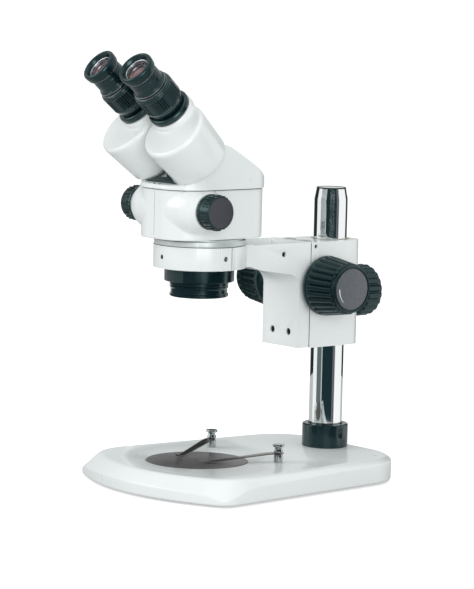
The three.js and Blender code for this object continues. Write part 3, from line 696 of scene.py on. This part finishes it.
# ---------------------------------------------------------------- arm with its ring
def arm():
    side = fillet([(-46.5, 125.1, 0), (-46.5, 224.9, 0), (-122, 224.9, 0), (-122, 205.3, 0),
                   (-106, 200.7, 0), (-59.9, 193.9, 14), (-59.9, 125.1, 0)])
    made = solid("arm_body", *prism_of(side, -25.9, 25.9, "yz"))
    lug = fillet([(43.4, -170, 0.8), (43.4, -155, 1.5), (25.9, -125, 2), (25.9, -118, 0),
                  (-25.9, -118, 0), (-25.9, -125, 2), (-42.3, -153, 4), (-36, -170, 0)])
    combine(made, [solid("tool", *prism_of(lug, 205.1, 225.9)),
                   rod(42.9, 205.1, 225.9, at(0, AXIS_Y, 0), 128)], "UNION")
    channel = fillet([(21.4, -57, 4), (-21.4, -57, 4), (-21.4, -117, 8), (21.4, -117, 8)])
    combine(made, [
        rod(38.35, 200, 230, at(0, AXIS_Y, 0), 128), solid("tool", *prism_of(channel, 208, 230)),
        block(30, 60, -157.7, -156.3, 200, 230),
        rod(2.4, 37, 50, at(0, -164, 215.8, ALONG_X), 32),
        rod(2.6, 18, 40, at(0, -79.5, 214.6, ALONG_X), 32),
        rod(2.2, -50, -38, at(-2, AXIS_Y, 215.8, ALONG_Y), 32),
        *[rod(3.4, -61, -56, at(x, 0, 139.5, ALONG_Y), 32) for x in (-11.5, 11.5)],
    ], "DIFFERENCE")
    return softened(made, 0.6, 3)


piece(arm(), "arm", "enamel_light", "arm_bracket")
# The plug wears painted shade, the dark of its hole.
piece(turned("arm_plug", [(0, 23), (1.2, 23), (1.4, 24), (2.5, 24), (2.5, 20), (0, 20)],
             at(0, -79.5, 214.6, ALONG_X), 0.15, 32), "arm", "zinc_steel", material=RECESS_SHADE)
# The screw heads wear painted shade, the dark of their holes.
for side, name in ((-1, "left"), (1, "right")):
    head = turned(f"column_cap_{name}", [(0, -57.6), (1.4, -57.6), (1.6, -58.9), (2.7, -58.9),
                                         (3.1, -58.4), (3.1, -56), (0, -56)],
                  at(side * 11.5, 0, 139.5, ALONG_Y), 0.2, 40)
    piece(head, "arm", "zinc_steel", f"column_screw_{name}", material=RECESS_SHADE)
# The ring's grub screw wears painted shade, the dark of its hole.
piece(turned("ring_grub", [(0, -42.2), (1.0, -42.2), (2.1, -42.2), (2.1, -40), (0, -40)],
             at(-2, AXIS_Y, 215.8, ALONG_Y), 0.1, 32), "arm", "zinc_steel", material=RECESS_SHADE)
slide_gap = block(-25.3, 25.3, -46.7, -45.15, 125.5, 224.2)
slide_gap.name = "slide_gap"       # painted shade: a dark strip standing for the shadow in the seam between the arm and the housing
piece(slide_gap, "arm", "zinc_steel", material=RECESS_SHADE)


# ---------------------------------------------------------------- head, from the bottom up
ON_AXIS = at(0, AXIS_Y, 0)
piece(turned("flange_ring", [
    (27, 199.1), (30.9, 199.1), (30.9, 204.1), (37.9, 204.1), (37.9, 226.4), (42.2, 226.5),
    (42.4, 227.0), (42.4, 230.9), (42.0, 231.3), (40.1, 231.4), (39.9, 231.8), (39.9, 232.7),
    (27, 232.7), (27, 199.1)], ON_AXIS, 0.25, 160), "head", "ring_satin", "head_flange")
piece(turned("objective_barrel", [
    (24.1, 192.1), (31.9, 192.1), (32.4, 192.7), (32.4, 203), (31.9, 203.6), (31.4, 203.6),
    (31.4, 198.8), (26.8, 198.8), (26.8, 201.9), (24.1, 201.9), (24.1, 192.1)], ON_AXIS, 0.4, 160),
    "head", "black_anodised", "objective_housing")
piece(turned("objective_grip", [
    (22.6, 177.9), (26.5, 177.9), (27.2, 178.7), (27.2, 180.4), (26.4, 181.2), (26.2, 182.0),
    (26.2, 185.2), (26.6, 185.9), (27.2, 186.5), (27.2, 187.5), (26.5, 188.1), (27.2, 188.7),
    (27.2, 191.4), (26.9, 191.6), (22.6, 191.6), (22.6, 177.9)], ON_AXIS, 0.3, 160),
    "head", "black_anodised", "objective_ring")
piece(turned("objective_glass", [
    (0, 182.1), (4, 182.15), (8, 182.4), (12, 182.8), (16, 183.6), (20, 184.7), (22.1, 185.6),
    (22.1, 189.8), (0, 189.8)], ON_AXIS, 0.2, 96), "head", "optical_glass", "objective_lens")


def body_half(name, side):
    """Half of the zoom body, whose wall swells smoothly into the knob's boss."""
    line = plan_line(0)
    edge = eased([(9, 233.1), (0, 233.1), (0, 278.4), (5, 278.4)], 1.2, 5)
    rows = dense_heights(edge, 0.8)
    points = []
    for spot, out in line:
        for inset, z in rows:
            x, y = spot.x - out.x * inset, spot.y - out.y * inset
            if inset < 2:
                x = swollen(x, y, z)
            points.append((side * x, y, z))
    across = len(rows)
    faces = [(j * across + i, (j + 1) * across + i, (j + 1) * across + i + 1, j * across + i + 1)
             for j in range(len(line) - 1) for i in range(across - 1)]
    made = solid(f"body_half_{name}", points, faces, sharp=45)
    piece(made, "head", "enamel_light", f"body_shell_{name}")


def swollen(x, y, z):
    """The wall's x where the boss, a soft cone round the zoom shaft, rises out of it."""
    r = hypot(y - ZOOM[0], z - ZOOM[1])
    if r > 25.4 or x < 8:
        return x
    flank = ((0, WALL_OUT), (16.3, WALL_OUT), (18.5, 43.6), (21.2, 39), (23.4, 32), (25.4, 18))
    for (r0, x0), (r1, x1) in zip(flank, flank[1:]):
        if r0 <= r <= r1:
            boss = x0 + (x1 - x0) * (r - r0) / (r1 - r0)
    return min(WALL_OUT, soft_max(x, boss, 5.0 if r > 16.3 else 0.01))


def plan_line(grow):
    """Half of the body's plan from front to rear, as points with their outward directions."""
    outline = fillet([(-1, -214 - grow, 0), (39 + grow, -214 - grow, 30 + grow),
                      (39 + grow, -106 + grow, 24 + grow), (-1, -106 + grow, 0)], 60)
    spots = [p for p in outline if p.x > 0]
    fine = [Vector((0.15, -214 - grow))]
    for a, b in zip([Vector((0.15, -214 - grow)), *spots], [*spots, Vector((0.15, -106 + grow))]):
        parts = max(1, int((b - a).length / 0.8))
        fine += [a.lerp(b, k / parts) for k in range(1, parts + 1)]
    line = []
    for i, spot in enumerate(fine):
        run = fine[min(i + 1, len(fine) - 1)] - fine[max(i - 1, 0)]
        line.append((spot, Vector((run.y, -run.x)).normalized()))
    return line


def crown(y):
    """The cover's height along the object: ledge, slope under the drums, roof and rear."""
    slope = tan(LEAN)
    seat = DRUM[2] - 0.6 + (y - DRUM[1]) * slope
    roof = 320 - (y + 160) * (320 - 287) / (160 - 104.5)
    rising = soft_max(283.4, seat, 1.2)
    return soft_min(soft_min(rising, 319.9, 3.0), roof, 4.0)


def soft_max(a, b, blend):
    """The larger of two values, rounded where they cross."""
    gap = max(0, blend - abs(a - b)) / blend
    return max(a, b) + gap * gap * blend / 4


def soft_min(a, b, blend):
    return -soft_max(-a, -b, blend)


def top_cover():
    """The cover as a skin over its plan, with a rounded brow all round."""
    half = plan_line(1.4)
    loop = [s for s, _ in half] + [Vector((-s.x, s.y)) for s, _ in reversed(half)]
    brow, low = 3.2, 279.1
    insets = [brow * (1 - cos(radians(a))) for a in range(0, 91, 10)]
    insets += [brow + (41 - brow) * (k / 34) for k in range(1, 35)]
    points, count = [], len(loop)
    for spot in loop:
        core = Vector((0, max(-160 - 14, min(-160 + 14, spot.y))))
        whole = (spot - core).length
        for d in [None, None, *insets]:
            t = min(1, (d or 0) / 41 if (d or 0) > brow else (d or 0) / whole)
            here = spot.lerp(core, t if (d or 0) <= brow else max(brow / whole, t))
            if d is None:
                points.append((here.x, here.y, low))
                continue
            dip = brow - sqrt(max(0, brow ** 2 - max(0, brow - d) ** 2))
            points.append((here.x, here.y, max(low + 0.5, crown(here.y) - dip)))
    across = len(insets) + 2
    faces = [(j * across + i, ((j + 1) % count) * across + i,
              ((j + 1) % count) * across + i + 1, j * across + i + 1)
             for j in range(count) for i in range(1, across - 1)]
    return solid("cover_skin", points, faces, sharp=50)


for side, name in ((-1, "left"), (1, "right")):
    body_half(name, side)
piece(top_cover(), "head", "enamel_light", "top_cover")


def lip_slots():
    """Two small dark discs of painted shade, standing for the slots in the cover's front lip."""
    for number, x in enumerate((-2.0, 5.4)):
        slot = turned(f"lip_slot_{number}", [
            (0, 0.6), (0.9, 0.6), (1.15, 0.4), (1.15, -0.4), (0, -0.4)],
            at(x, -212.6, 283.1), 0.1, 24)
        piece(slot, "head", "enamel_light", material=RECESS_SHADE)


lip_slots()


def name_plate():
    """The dark plate that fills the gap between the drums, with a bevelled edge and no writing."""
    edge = [(DRUM[0] - sqrt(28.7 ** 2 - v * v) - 1.1, v) for v in
            (-10.2, -12, -14, -16, -18, -20, -22, -24, -26, -28.2)]
    outline = [(-u, v) for u, v in edge] + edge[::-1]
    made = solid("plate_blank", *prism_of(outline, 0.3, 1.8),
                 at(0, DRUM[1], DRUM[2] - 0.5, Matrix.Rotation(LEAN, 4, "X")))
    return softened(made, 0.3, 2)


piece(name_plate(), "head", "black_moulded", "name_plate")
ridge = solid("plate_ridge", [(-4, -22.5, 1.78), (4, -22.5, 1.78), (0, -17.5, 1.78),
                              (-2.2, -21.4, 2.1), (2.2, -21.4, 2.1), (0, -18.9, 2.1)],
              [(0, 1, 4, 3), (1, 2, 5, 4), (2, 0, 3, 5), (3, 4, 5)],
              at(0, DRUM[1], DRUM[2] - 0.5, Matrix.Rotation(LEAN, 4, "X")))
piece(ridge, "head", "zinc_steel")


# ---------------------------------------------------------------- zoom knobs
def zoom_knob(name, side):
    dense = dense_heights(eased([
        (0, 48.4), (15.4, 48.4), (16.3, 49.2), (16.4, 51.4), (15.3, 52.4), (15.1, 62.2), (15.1, 63.6),
        (14.7, 64.3), (14.2, 64.45), (0, 64.45)], 0.5), 1.0)
    made = solid(f"zoom_grip_{name}", *lathe(dense, 144),
                 at(0, *ZOOM, outward(side)))
    piece(made, "zoom_drive", "black_moulded", f"zoom_knob_{name}")
    face = turned(f"zoom_face_{name}", [(0, 64.49), (13.9, 64.49), (14.2, 64.3)],
                  at(0, *ZOOM, outward(side)), 0.1)
    piece(face, "zoom_drive", "knob_disc", material=ZOOM_FACE)
    points, faces = [], []
    for group in range(12):
        for shift in (-0.1, 0.1):
            bar(points, faces, group * pi / 6 + shift, 14.9, 16.45, 54.0, 62.4, 0.75)
    bars = solid(f"zoom_bars_{name}", points, faces,
                 at(0, *ZOOM, outward(side)))
    piece(softened(bars, 0.2, 2), "zoom_drive", "black_moulded")
    points, faces = [], []
    for group in range(12):
        bar(points, faces, group * pi / 6, 16.0, 16.48, 49.7, 51.1, 0.4)
    ticks = solid(f"zoom_ticks_{name}", points, faces,
                  at(0, *ZOOM, outward(side)))
    piece(ticks, "zoom_drive", "black_moulded", material=MARK)


def bar(points, faces, turn, inner, outer, low, high, half):
    """A small raised bar along a turned surface, with sloping ends."""
    start = len(points)
    for r, inset, wide in ((inner, 0, half), (outer, 0.7, half * 0.7)):
        for z in (low + inset, high - inset):
            for w in (-wide, wide):
                points.append((r * cos(turn) - w * sin(turn), r * sin(turn) + w * cos(turn), z))
    for quad in ((0, 1, 3, 2), (4, 5, 7, 6), (0, 1, 5, 4), (2, 3, 7, 6), (0, 2, 6, 4), (1, 3, 7, 5)):
        faces.append(tuple(start + k for k in quad))


for side, name in ((-1, "left"), (1, "right")):
    zoom_knob(name, side)


# ---------------------------------------------------------------- drums and eyepieces
def drum_place(side):
    return at(side * DRUM[0], DRUM[1], DRUM[2]) @ Matrix.Rotation(LEAN, 4, "X") \
        @ Matrix.Rotation(side * SPREAD, 4, "Y")


def drum(name, side):
    where = drum_place(side)
    shell = turned(f"drum_shell_{name}", [
        (0, 0.1), (27.6, 0.1), (28.6, 1.0), (30.6, 40.6), (30.3, 42.6), (28.6, 44.2), (27, 44.45),
        (0, 44.45)], where, 1.2, 192)
    boss = turned("tool", [(0, 26), (11, 26), (18.5, 37), (20.6, 42.6), (20.7, SEAT - 1.2),
                           (19.8, SEAT - 0.1), (0, SEAT - 0.1)],
                  where @ at(-side * EYE[0], EYE[1], 0), 1.0, 96)
    combine(shell, [boss], "UNION")
    return piece(softened(shell, 1.0, 3, 20), f"drum_{name}", "enamel_light", f"prism_drum_{name}")


def eyepiece(name, side):
    where = drum_place(side) @ at(-side * EYE[0], EYE[1], SEAT)
    body = f"drum_{name}"
    piece(turned(f"eye_seat_{name}", [
        (11, 0.3), (19.3, 0.3), (20.1, 1.0), (20.1, 4.6), (19.5, 5.5), (18.5, 6.2), (13.55, 6.2),
        (13.55, 31), (11, 31), (11, 0.3)], where, 0.5, 128), body, "black_anodised",
        f"eyepiece_tube_{name}")
    knurl(name, where)
    piece(turned(f"eye_barrel_{name}", [
        (9.1, 14), (10.5, 14), (10.5, 34.4), (15.9, 34.4), (16.7, 35.0), (16.7, 35.9), (16.2, 36.3),
        (16.5, 36.7), (16.3, 37.3), (15.4, 38.0), (15.1, 39.3), (14.85, 40.0), (15.05, 40.4),
        (14.9, 46.4), (14.7, 46.8), (14.8, 47.3), (14.7, 51.2), (13, 51.2), (13, 46.4), (9.1, 43.2),
        (9.1, 14)], where, 0.18, 128), f"eyepiece_{name}", "black_anodised", f"eyepiece_barrel_{name}")
    piece(turned(f"eye_rim_{name}", [
        (11.9, 49.1), (12.4, 49.1), (12.4, 51.7), (15.2, 51.7), (16.2, 52.6), (16.75, 56.2),
        (16.9, 58.8), (16.4, 60.2), (15.2, 60.95), (14.3, 60.9), (13.3, 60.0), (11.9, 57.6),
        (11.9, 49.1)], where, 0.7, 128), f"eyepiece_{name}", "black_moulded", f"eye_cup_{name}")
    piece(turned(f"eye_bezel_{name}", [(10.6, 55.9), (10.9, 56.6), (11.5, 56.9), (11.85, 56.5),
                                       (11.85, 52), (10.6, 52), (10.6, 55.9)], where, 0.15, 96),
          f"eyepiece_{name}", "zinc_steel")
    dome = [(11.5 * sin(radians(a)), 51.5 + 3.2 * cos(radians(a))) for a in range(0, 91, 9)]
    piece(turned(f"eye_glass_{name}", [*dome, (11.5, 48.5), (0, 48.5)], where, 0.1, 96),
          f"eyepiece_{name}", "optical_glass", f"eye_lens_{name}")
    for number, (wide, low) in enumerate(((17.0, 33.95), (16.62, 36.25))):
        line = turned(f"eye_ring_line_{number}_{name}", [
            (wide - 0.7, low), (wide, low), (wide, low + 0.36), (wide - 0.7, low + 0.36)],
            where, 0.05, 96)
        piece(line, f"eyepiece_{name}", "zinc_steel")
    piece(turned(f"eye_line_{name}", [(14.9, 51.25), (15.25, 51.35), (15.25, 51.6), (14.9, 51.65)],
                 where, 0.05, 96), f"eyepiece_{name}", "zinc_steel")


def knurl(name, where):
    """The dioptre ring: groups of fine ribs with plain panels between them."""
    profile = dense_heights(eased([
        (13.85, 6.7), (16.3, 6.7), (17.4, 9.6), (18.5, 13.0), (18.9, 14.4), (18.95, 30.4),
        (18.2, 31.0), (18.6, 31.6), (18.3, 32.4), (17.6, 32.9), (17.7, 33.4), (16.9, 33.9),
        (13.85, 33.9), (13.85, 6.7)], 0.25), 0.8)

    def depth(turn, i):
        radius, z = profile[i]
        if radius < 18 or not 14.6 < z < 30.2:
            return 0
        end = min(1, (z - 14.6) / 0.9, (30.2 - z) / 0.9)
        part = (turn * 6 / (2 * pi)) % 1
        if part > 0.72:
            return 0.35 * end
        return 1.15 * end * abs(sin(part / 0.72 * 6 * pi)) ** 0.8

    made = solid(f"eye_knurl_{name}", *lathe(profile, 432, depth), where, 42)
    piece(made, f"dioptre_{name}", "black_anodised", f"dioptre_ring_{name}")


for side, name in ((-1, "left"), (1, "right")):
    drum(name, side)
    eyepiece(name, side)


# ---------------------------------------------------------------- studio
def studio_material(name, colour, strength):
    material = bpy.data.materials.new(name)
    material.use_nodes = True
    shader = material.node_tree.nodes["Principled BSDF"]
    shader.inputs["Base Color"].default_value = (*colour, 1)
    shader.inputs["Roughness"].default_value = 0.9
    shader.inputs["Emission Color"].default_value = (1, 1, 1, 1)
    shader.inputs["Emission Strength"].default_value = strength
    return material


def dim_bounce(material, tone):
    """Keeps the material bright to look at while it lights the object less."""
    nodes, links = material.node_tree.nodes, material.node_tree.links
    bright, out = nodes["Principled BSDF"], nodes["Material Output"]
    path, mix = nodes.new("ShaderNodeLightPath"), nodes.new("ShaderNodeMixShader")
    dull = nodes.new("ShaderNodeBsdfDiffuse")
    dull.inputs["Color"].default_value = (tone, tone, tone, 1)
    links.new(path.outputs["Is Camera Ray"], mix.inputs[0])
    links.new(dull.outputs[0], mix.inputs[1])
    links.new(bright.outputs[0], mix.inputs[2])
    links.new(mix.outputs[0], out.inputs["Surface"])
    return material


def floor():
    mesh = bpy.data.meshes.new("floor")
    mesh.from_pydata([(-30, -30, 0), (30, -30, 0), (30, 30, 0), (-30, 30, 0)], [], [(0, 1, 2, 3)])
    made = bpy.data.objects.new("floor", mesh)
    bpy.context.scene.collection.objects.link(made)
    made.location.z = -0.0002
    made.data.materials.append(dim_bounce(studio_material("floor", (0.9, 0.9, 0.9), 0.5), 0.6))


VIEW = (radians(50.17), radians(6.60))
TARGET = Vector((-0.1367, SHIFT * MM, 0.1558))
DISTANCE = 2.977


def reflected_card(name, start, end, tone, low, radius=0.19, high=0.42):
    """An upright card round the pole that only shows in reflections; angles are from the viewer."""
    points, count = [], 12
    for k in range(count + 1):
        turn = VIEW[0] + radians(start + (end - start) * k / count)
        for z in (low, high):
            points.append((radius * sin(turn), SHIFT * MM - radius * cos(turn), z))
    faces = [(2 * k, 2 * k + 1, 2 * k + 3, 2 * k + 2) for k in range(count)]
    mesh = bpy.data.meshes.new(name)
    mesh.from_pydata(points, [], faces)
    made = bpy.data.objects.new(name, mesh)
    bpy.context.scene.collection.objects.link(made)
    material = studio_material(name, (0, 0, 0), 1.0)
    material.node_tree.nodes["Principled BSDF"].inputs["Emission Color"].default_value = (*tone, 1)
    material.node_tree.nodes["Principled BSDF"].inputs["Specular IOR Level"].default_value = 0
    nodes, links = material.node_tree.nodes, material.node_tree.links
    seen, mix = nodes.new("ShaderNodeNewGeometry"), nodes.new("ShaderNodeMixShader")
    links.new(seen.outputs["Backfacing"], mix.inputs[0])
    links.new(nodes["Principled BSDF"].outputs[0], mix.inputs[1])
    links.new(nodes.new("ShaderNodeBsdfTransparent").outputs[0], mix.inputs[2])
    links.new(mix.outputs[0], nodes["Material Output"].inputs["Surface"])
    mesh.materials.append(material)
    for kind in ("camera", "diffuse", "transmission", "volume_scatter", "shadow"):
        setattr(made, f"visible_{kind}", False)


def light(name, place, aim, size, power, tone=(1, 1, 1)):
    lamp = bpy.data.lights.new(name, "AREA")
    lamp.shape = "RECTANGLE"
    lamp.size, lamp.size_y = size
    lamp.energy = power
    lamp.color = tone
    made = bpy.data.objects.new(name, lamp)
    made.location = place
    made.rotation_euler = (Vector(aim) - Vector(place)).to_track_quat("-Z", "Y").to_euler()
    bpy.context.scene.collection.objects.link(made)


def world(strength):
    made = bpy.data.worlds.new("studio")
    bpy.context.scene.world = made
    made.use_nodes = True
    nodes, links = made.node_tree.nodes, made.node_tree.links
    seen, out = nodes["Background"], nodes["World Output"]
    seen.inputs["Color"].default_value = (0.995, 1, 1, 1)
    fill = nodes.new("ShaderNodeBackground")
    fill.inputs["Color"].default_value = (0.97, 1.0, 1.0, 1)
    fill.inputs["Strength"].default_value = strength
    path, mix = nodes.new("ShaderNodeLightPath"), nodes.new("ShaderNodeMixShader")
    links.new(path.outputs["Is Camera Ray"], mix.inputs[0])
    links.new(fill.outputs[0], mix.inputs[1])
    links.new(seen.outputs[0], mix.inputs[2])
    links.new(mix.outputs[0], out.inputs["Surface"])


def camera():
    lens = bpy.data.cameras.new("view")
    lens.lens = 183.4
    lens.clip_end = 100
    made = bpy.data.objects.new("view", lens)
    away = Vector((sin(VIEW[0]) * cos(VIEW[1]), -cos(VIEW[0]) * cos(VIEW[1]), sin(VIEW[1])))
    made.location = TARGET + away * DISTANCE
    turn = away.to_track_quat("Z", "Y").to_matrix().to_4x4()
    made.matrix_world = Matrix.Translation(made.location) @ turn @ Matrix.Rotation(0.023, 4, "Z")
    bpy.context.scene.collection.objects.link(made)
    bpy.context.scene.camera = made


floor()
# the pole's reflections, from left to right as it is looked at
for number, (start, end, tone, low) in enumerate((
        (-150, -103, (0.02, 0.03, 0.03), 0.06), (-103, -71, (1.0, 1.0, 1.0), 0.0005),
        (-71, -38, (0.13, 0.16, 0.17), 0.0005), (-38, -32, (0.6, 0.65, 0.65), 0.0005),
        (-32, 38, (0.012, 0.032, 0.038), 0.0005), (38, 46, (0.17, 0.17, 0.19), 0.0005),
        (46, 49, (0.02, 0.02, 0.02), 0.0005), (49, 55, (0.25, 0.24, 0.27), 0.0005),
        (55, 119, (1.05, 1.05, 1.05), 0.0005), (119, 150, (0.02, 0.03, 0.03), 0.06))):
    reflected_card(f"card_{number}", start, end, tone, low)
light("key", (-1.6, -2.4, 1.5), (0, 0, 0.2), (1.8, 1.8), 30)
light("front", (2.6, -1.5, 0.7), (0, 0, 0.15), (1.8, 1.4), 42)
light("top", (0.2, -0.3, 2.6), (0, 0, 0.2), (1.6, 1.6), 6)
world(0.66)
camera()
bpy.context.scene.view_settings.view_transform = "Standard"
